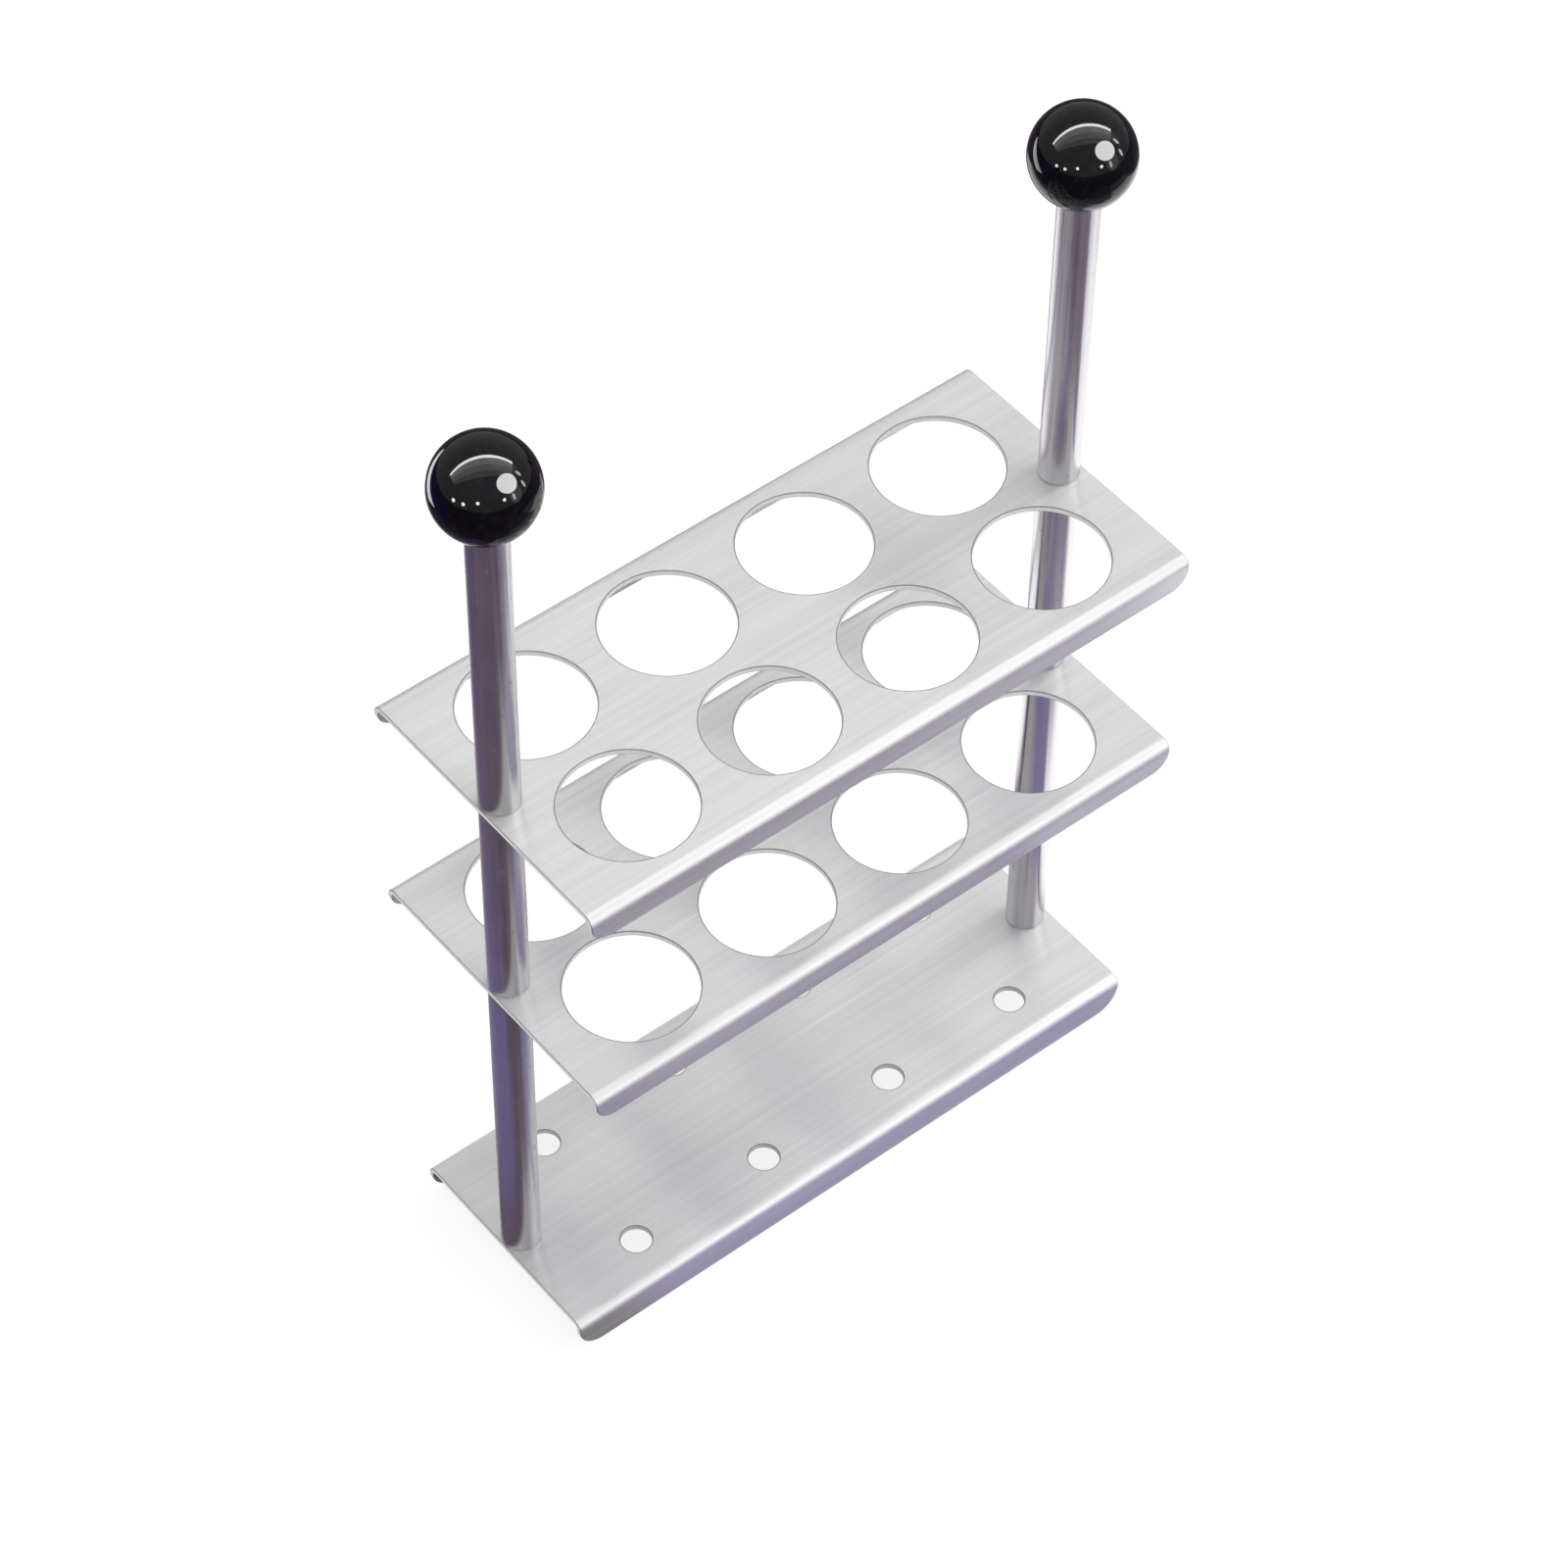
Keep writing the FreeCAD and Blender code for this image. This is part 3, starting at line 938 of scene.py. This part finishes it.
@dataclass
class UprightRod:
    """One length of rod, tapped at its foot and with a threaded stud on its head."""

    name: str
    across: float
    foot: float
    length: float
    stud_diameter: float
    stud_length: float
    diameter: float = 8.0
    chamfer: float = 0.3
    tapped_radius: float = 2.05
    tapped_depth: float = 8.0
    drill_tip: float = 1.2
    tip_chamfer: float = 0.4
    rounding: float = 0.05
    steps: int = 128

    @classmethod
    def from_cad(cls, side: Side, place: str, stud_diameter: float, stud_length: float) -> "UprightRod":
        """Size a rod by its CAD node, which its stud is part of.

        Args:
            side: the end of the rack that it stands at.
            place: the word for its place in the node's name.
            stud_diameter: the diameter of its stud, in millimetres.
            stud_length: how far its stud stands out, in millimetres.

        Returns:
            A rod as long and thick as the node.
        """
        name = f"{side.word}_{place}_rod"
        low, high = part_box(name)
        across = (low.x + high.x) / 2
        length = (high.z - low.z) / MM - stud_length
        diameter = (high.x - low.x) / MM
        return cls(name, across, low.z, length, stud_diameter, stud_length, diameter)

    def build(self) -> bpy.types.Object:
        """Turn the rod's outline once round.

        Returns:
            The finished rod.
        """
        outer, stud, soft = self.diameter / 2, self.stud_diameter / 2, self.rounding
        shoulder = self.length + self.stud_length
        outline = rounded_outline([
            (0.0, self.tapped_depth + self.drill_tip, 0.0),
            (self.tapped_radius, self.tapped_depth, soft),
            (self.tapped_radius, 0.0, soft),
            (outer - self.chamfer, 0.0, soft),
            (outer, self.chamfer, soft),
            (outer, self.length - self.chamfer, soft),
            (outer - self.chamfer, self.length, soft),
            (stud, self.length, soft),
            (stud, shoulder - self.tip_chamfer, soft),
            (stud - self.tip_chamfer, shoulder, soft),
            (0.0, shoulder, 0.0),
        ])
        skin = Skin()
        turned(skin, outline, self.across, self.foot, self.steps)
        made = skin.build(f"{self.name}_bar")
        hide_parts(self.name)
        return made


@dataclass
class BallKnob:
    """A moulded ball knob, flat underneath, with the hollow that holds its brass insert."""

    side: Side
    diameter: float = 20.0
    insert_radius: float = 3.8
    insert_waist: float = 3.3
    insert_height: float = 9.0
    waist_start: float = 3.0
    waist_end: float = 6.0
    waist_taper: float = 0.5
    rounding: float = 0.05
    flat_rounding: float = 0.35
    lip_angle: float = 0.06
    ball_steps: int = 72
    steps: int = 144

    def build(self) -> bpy.types.Object:
        """Turn the knob's outline once round. Its ball is r = R * cos A, z = centre + R * sin A.

        Returns:
            The finished knob.
        """
        node = f"{self.side.word}_knob"
        low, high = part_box(node)
        across, height = (low.x + high.x) / 2, (high.z - low.z) / MM
        radius = self.diameter / 2
        centre = height - radius
        wide, narrow, soft = self.insert_radius, self.insert_waist, self.rounding
        start = -math.asin(centre / radius)
        first = start + self.lip_angle
        lip = (radius * math.cos(first), centre + radius * math.sin(first))
        tangent = (-math.sin(first), math.cos(first))
        foot = (lip[0] - tangent[0] * lip[1] / tangent[1], 0.0)
        points, normals = rounded_outline([
            (0.0, self.insert_height, 0.0), (wide, self.insert_height, soft), (wide, self.waist_end, soft),
            (narrow, self.waist_end - self.waist_taper, soft),
            (narrow, self.waist_start + self.waist_taper, soft),
            (wide, self.waist_start, soft), (wide, 0.0, soft),
            (foot[0], foot[1], self.flat_rounding), (lip[0], lip[1], 0.0),
        ])
        angle = np.linspace(first, math.pi / 2, self.ball_steps + 1)
        ball = np.stack((np.cos(angle), np.sin(angle)), 1)
        ball[-1] = (0.0, 1.0)
        points = np.concatenate((points[:-1], ball * radius * MM + np.array((0.0, centre * MM))))
        normals = np.concatenate((normals[:-1], ball))
        skin = Skin()
        turned(skin, (points, normals), across, low.z, self.steps)
        made = skin.build(f"{node}_ball")
        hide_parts(node)
        return made


# studio


@dataclass(frozen=True)
class Patch:
    """A rectangle of another tint on the bench, given by two corners, that fades out round it."""

    low: tuple[float, float]
    high: tuple[float, float]
    fade: float
    colour: Colour

    def share(self, x: Value, y: Value) -> Value:
        """Tell the inside of the rectangle from the bench round it.

        Args:
            x: the bench's X.
            y: the bench's Y.

        Returns:
            0 inside the rectangle, 1 beyond its fading border, and a smooth step between them.
        """
        outside = (x - self.high[0]).larger(self.low[0] - x)
        outside = outside.larger((y - self.high[1]).larger(self.low[1] - y))
        return outside.between(0.0, self.fade)


def hung(data: bpy.types.Light, place: Matrix) -> bpy.types.Object:
    """Hang a lamp that the camera doesn't see.

    Args:
        data: the lamp's size and brightness.
        place: where it hangs and how it is turned.

    Returns:
        The lamp.
    """
    made = bpy.data.objects.new(data.name, data)
    made.matrix_world = place
    made.visible_camera = False
    bpy.context.scene.collection.objects.link(made)
    return made


@dataclass(frozen=True)
class RoundLamp:
    """An elliptical lamp that faces the top of the rack.

    Its way is the direction from there to the lamp. A radiance of 1 is the white of the floor, and
    its turn about its own axis is in degrees.
    """

    name: str
    size: tuple[float, float]
    way: Triple
    distance: float
    radiance: float
    turn: float = 0.0
    aim: Triple = (0.0, 0.0, 0.20)

    def hang(self) -> bpy.types.Object:
        """Hang the lamp, whose power is radiance * pi * its area.

        Returns:
            The lamp.
        """
        data = bpy.data.lights.new(self.name, "AREA")
        data.shape, data.size, data.size_y = "ELLIPSE", *self.size
        data.energy = self.radiance * self.size[0] * self.size[1] * math.pi ** 2 / 4
        direction = Vector(self.way).normalized()
        spin = Matrix.Rotation(math.radians(self.turn), 3, "Z").to_quaternion()
        facing = (direction.to_track_quat("Z", "Y") @ spin).to_matrix().to_4x4()
        return hung(data, Matrix.Translation(Vector(self.aim) + direction * self.distance) @ facing)


@dataclass(frozen=True)
class StripLamp:
    """A level strip lamp between two points, shining down.

    A radiance of 1 is the white of the floor, and aside is how far it is moved towards the
    camera's side, level with the two points.
    """

    name: str
    ends: tuple[Triple, Triple]
    width: float
    radiance: float
    aside: float = 0.0

    def hang(self) -> bpy.types.Object:
        """Hang the lamp, whose power is radiance * pi * its area.

        Returns:
            The lamp.
        """
        start, stop = Vector(self.ends[0]), Vector(self.ends[1])
        sideways = (stop - start).cross(Vector((0.0, 0.0, 1.0))).normalized() * self.aside
        start, stop = start + sideways, stop + sideways
        data = bpy.data.lights.new(self.name, "AREA")
        data.shape, data.size, data.size_y = "RECTANGLE", (stop - start).length, self.width
        data.energy = self.radiance * data.size * data.size_y * math.pi
        angle = math.atan2(stop.y - start.y, stop.x - start.x)
        return hung(data, Matrix.Translation((start + stop) / 2) @ Matrix.Rotation(angle, 4, "Z"))


@dataclass
class Studio:
    """A pale floor, soft light from above, and the camera at the photograph's angle.

    The colours of the bench and its patches stand for what lay round the rack on its bench, which
    polished metal mirrors. Levels are strengths, where 1 is white.
    """

    place: Triple = (-0.39201, -0.47388, 0.81943)
    right: Triple = (0.7791035, -0.6267909, 0.0114423)
    forward: Triple = (0.4133645, 0.4999203, -0.7610581)
    focal_pixels: float = 5089.4
    image_pixels: float = 1600.0
    sensor_width: float = 36.0
    floor_half: float = 6.0
    floor_height: float = -0.0001
    floor_colour: Colour = (0.86, 0.86, 0.87)
    floor_shaded: Colour = (0.22, 0.22, 0.222)
    floor_level: float = 0.86
    room_level: float = 0.58
    upper_level: float = 0.10
    glow_level: float = 1.1
    glow_way: Triple = (-0.463, -0.853, 0.246)
    bench_half: float = 5.0
    bench_height: float = 0.0001
    bench_colour: Colour = (0.135, 0.098, 0.135)
    patches: tuple[Patch, ...] = (
        Patch((-2.0, 0.15), (-0.30, 2.0), 0.10, (0.09, 0.07, 0.28)),
        Patch((-0.04, -0.10), (0.12, -0.03), 0.02, (0.26, 0.22, 0.42)),
        Patch((0.00, -0.34), (0.35, -0.10), 0.03, (0.36, 0.33, 0.46)),
        Patch((-0.01, -0.34), (0.14, -0.16), 0.02, (0.20, 0.15, 0.19)),
        Patch((0.14, -0.07), (0.32, 0.08), 0.02, (1.5, 1.48, 1.5)),
        Patch((0.085, -0.055), (0.16, 0.08), 0.012, (1.5, 1.48, 1.5)),
        Patch((0.17, -0.17), (0.32, -0.05), 0.02, (1.5, 1.48, 1.5)),
        Patch((-0.10, 0.04), (-0.06, 0.28), 0.02, (0.36, 0.32, 0.37)),
        Patch((-0.045, 0.055), (0.10, 0.30), 0.01, (1.5, 1.48, 1.5)),
        Patch((-0.145, -0.03), (-0.10, 0.08), 0.02, (0.19, 0.155, 0.34)),
    )
    room_lamps: tuple[RoundLamp | StripLamp, ...] = (
        RoundLamp("round_lamp", (0.60, 0.72), (0.41, -0.885, 0.20), 1.25, 1.3),
        StripLamp("strip_lamp", STRIP_ENDS, 0.20, 1.4),
    )
    knob_lamps: tuple[RoundLamp | StripLamp, ...] = (
        RoundLamp("knob_round", (0.97, 0.82), (0.29, -0.744, 0.60), 1.27, 32.0, -29.0),
        StripLamp("knob_strip", KNOB_STRIP_ENDS, 0.16, 34.0),
        RoundLamp("knob_back", (0.37, 0.09), (-0.42, 0.835, -0.34), 0.371, 5.5, -36.0),
        StripLamp("knob_glow_0", KNOB_STRIP_ENDS, 0.30, 3.8, 0.26),
        StripLamp("knob_glow_1", KNOB_STRIP_ENDS, 0.30, 2.3, 0.56),
        StripLamp("knob_glow_2", KNOB_STRIP_ENDS, 0.30, 1.1, 0.86),
        RoundLamp("knob_right_0", (0.12, 0.30), (0.745, -0.475, 0.46), 1.3, 17.0),
        RoundLamp("knob_right_1", (0.12, 0.30), (0.745, -0.64, 0.19), 1.3, 17.0),
        RoundLamp("knob_right_2", (0.12, 0.30), (0.33, -0.925, 0.17), 1.3, 17.0),
        RoundLamp("knob_speck_0", (0.14, 0.14), (-0.99, 0.08, 0.09), 1.3, 45.0),
        RoundLamp("knob_speck_1", (0.14, 0.14), (-0.96, -0.24, 0.13), 1.3, 45.0),
        RoundLamp("knob_speck_2", (0.14, 0.14), (-0.74, -0.61, 0.27), 1.3, 45.0),
        RoundLamp("knob_speck_3", (0.14, 0.14), (0.00, -0.97, 0.25), 1.3, 45.0),
    )

    def camera(self) -> None:
        """Set the camera from its fitted place and directions, with no shift and all in focus."""
        data = bpy.data.cameras.new("photo_camera")
        data.sensor_fit, data.sensor_width = "HORIZONTAL", self.sensor_width
        data.lens = self.focal_pixels * self.sensor_width / self.image_pixels
        data.clip_start, data.clip_end = 0.01, 50.0
        made = bpy.data.objects.new("photo_camera", data)
        right, forward = Vector(self.right).normalized(), Vector(self.forward)
        forward = (forward - right * forward.dot(right)).normalized()
        up = right.cross(forward)
        turn = Matrix((right, up, -forward)).transposed()
        made.matrix_world = Matrix.Translation(self.place) @ turn.to_4x4()
        bpy.context.scene.collection.objects.link(made)
        bpy.context.scene.camera = made

    def _sheet(self, name: str, half: float, height: float) -> bpy.types.Object:
        """Lay a level square sheet as a stage object.

        Args:
            name: the sheet's name.
            half: half the length of its sides.
            height: how high it lies.

        Returns:
            The sheet.
        """
        across = np.array([[-half, half], [-half, half]])
        skin = Skin()
        points = np.stack((across, across.T, np.full((2, 2), height)), -1)
        skin.add(points, np.tile((0.0, 0.0, 1.0), (2, 2, 1)))
        made = skin.build(name)
        return made

    def floor(self) -> None:
        """Add the pale floor, which the camera sees as white with the rack's shadow on it."""
        made = self._sheet("floor", self.floor_half, self.floor_height)
        material = bpy.data.materials.new("pale_floor")
        tree = Tree(material)
        path = "ShaderNodeLightPath"
        seen = tree.value(path, output="Is Camera Ray").larger(tree.value(path, output="Is Glossy Ray"))
        seen = seen.larger(tree.value(path, output="Is Transmission Ray"))
        plain = tree.node("ShaderNodeBsdfDiffuse", None, {"Color": self.floor_colour})
        shaded = tree.node("ShaderNodeBsdfDiffuse", None, {"Color": self.floor_shaded})
        white = tree.node(
            "ShaderNodeEmission", None, {"Color": (1.0, 1.0, 1.0), "Strength": self.floor_level},
        )
        both = tree.node("ShaderNodeAddShader", None, {0: shaded, 1: white})
        tree.surface(tree.node("ShaderNodeMixShader", None, {0: seen, 1: plain, 2: both}))
        made.data.materials.append(material)

    def bench(self) -> None:
        """Add the dark bench top that the polished metal and the knobs mirror."""
        made = self._sheet("bench_card", self.bench_half, self.bench_height)
        for kind in ("camera", "diffuse", "transmission", "volume_scatter", "shadow"):
            setattr(made, f"visible_{kind}", False)
        material = bpy.data.materials.new("dark_bench")
        tree = Tree(material)
        grain = tree.stretched_noise((9.0, 9.0, 9.0), 3.0, 0.5)
        darker = tuple(0.7 * part for part in self.bench_colour)
        lighter = tuple(1.3 * part for part in self.bench_colour)
        colour = tree.mix_colour(grain.between(0.3, 0.7), darker, lighter)
        place = tree.node("ShaderNodeTexCoord", output="Object")
        x, y = (tree.value("ShaderNodeSeparateXYZ", None, {0: place}, axis) for axis in "XY")
        for patch in self.patches:
            colour = tree.mix_colour(patch.share(x, y), patch.colour, colour)
        tree.surface(tree.node("ShaderNodeEmission", None, {"Color": colour, "Strength": 1.0}))
        made.data.materials.append(material)

    def world(self) -> None:
        """Light the room evenly, a little brighter overhead, with a glow high on the right in front."""
        world = bpy.data.worlds.new("room")
        bpy.context.scene.world = world
        tree = Tree(world)
        direction = tree.node("ShaderNodeTexCoord", output="Generated")
        near = tree.value(
            "ShaderNodeVectorMath", {"operation": "DOT_PRODUCT"},
            {0: direction, 1: self.glow_way}, "Value",
        )
        across, up = (tree.value("ShaderNodeSeparateXYZ", None, {0: direction}, axis) for axis in "XZ")
        # The glow is brightest square to its way, and lies only high up and on the right.
        glow = near.between(-0.02, 0.02) * (1 - near / 0.75).larger(0.0).power(1.6) * up.between(0.35, 0.72)
        glow = glow * across.between(0.16, 0.30)
        level = self.room_level + up.between(-0.05, 0.5) * self.upper_level + glow * self.glow_level
        seen = tree.value("ShaderNodeLightPath", output="Is Camera Ray")
        level = level * (1 - seen) + seen
        tree.surface(tree.node("ShaderNodeBackground", None, {"Color": (1.0, 1.0, 1.0), "Strength": level}))

    def light_knobs(self, knobs: list[bpy.types.Object]) -> None:
        """Hang the lamps that show as highlights in the glossy knobs, and light nothing else.

        Args:
            knobs: the two knobs.
        """
        lit = bpy.data.collections.new("knobs")
        for knob in knobs:
            lit.objects.link(knob)
        for lamp in self.knob_lamps:
            lamp.hang().light_linking.receiver_collection = lit

    def build(self) -> None:
        """Build the whole studio."""
        bpy.context.scene.view_settings.view_transform = "Standard"
        self.camera()
        self.floor()
        self.bench()
        self.world()
        for lamp in self.room_lamps:
            lamp.hang()


# main


def dress(piece: bpy.types.Object, slot: Slot, *materials: bpy.types.Material) -> None:
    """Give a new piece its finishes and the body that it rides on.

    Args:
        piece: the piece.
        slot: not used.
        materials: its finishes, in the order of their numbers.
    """
    for material in materials:
        piece.data.materials.append(material)
    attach(piece, "root")


def main() -> None:
    """Build the rack's pieces in order, dress them and set up the studio."""
    logging.basicConfig(level=logging.INFO, format="%(name)s: %(message)s")
    studio = Studio()
    studio.build()
    sheet, cut = BrushedSheet().material(), CutEdge().material()
    # The darker copy is painted shade: a dark line on every rounded edge and round every hole.
    line = CutEdge("painted_shade_sheet_edge", (0.32, 0.32, 0.33), (0.48, 0.48, 0.49), 0.42, 1.0).material()
    for place, hole in (("base", DRAIN_DIAMETER), ("middle", SEAT_DIAMETER), ("top", SEAT_DIAMETER)):
        dress(FoldedShelf.from_cad(f"{place}_shelf", hole).build(), Slot.SHEET, sheet, cut, line)
    rod, knob = PolishedRod().material(), BlackPhenolic().material()
    brass = TurnedMetal("turned_brass", (0.50, 0.34, 0.12), (0.72, 0.54, 0.24)).material()
    steel = TurnedMetal("turned_steel", (0.40, 0.40, 0.41), (0.66, 0.66, 0.67)).material()
    knobs = []
    for side in Side:
        for place, stud in STUD_DIAMETER_AND_LENGTH.items():
            dress(UprightRod.from_cad(side, place, *stud).build(), Slot.ROD, rod)
        knobs.append(BallKnob(side).build())
        dress(knobs[-1], Slot.KNOB, knob)
        for node, material in (("knob_insert", brass), ("foot_screw", steel), ("foot_washer", steel)):
            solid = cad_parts[f"{side.word}_{node}"]
            solid.data.materials.clear()
            solid.data.materials.append(material)
            LOG.info("%s: dressed", solid.name)
    studio.light_knobs(knobs)


if __name__ == "__main__":
    main()
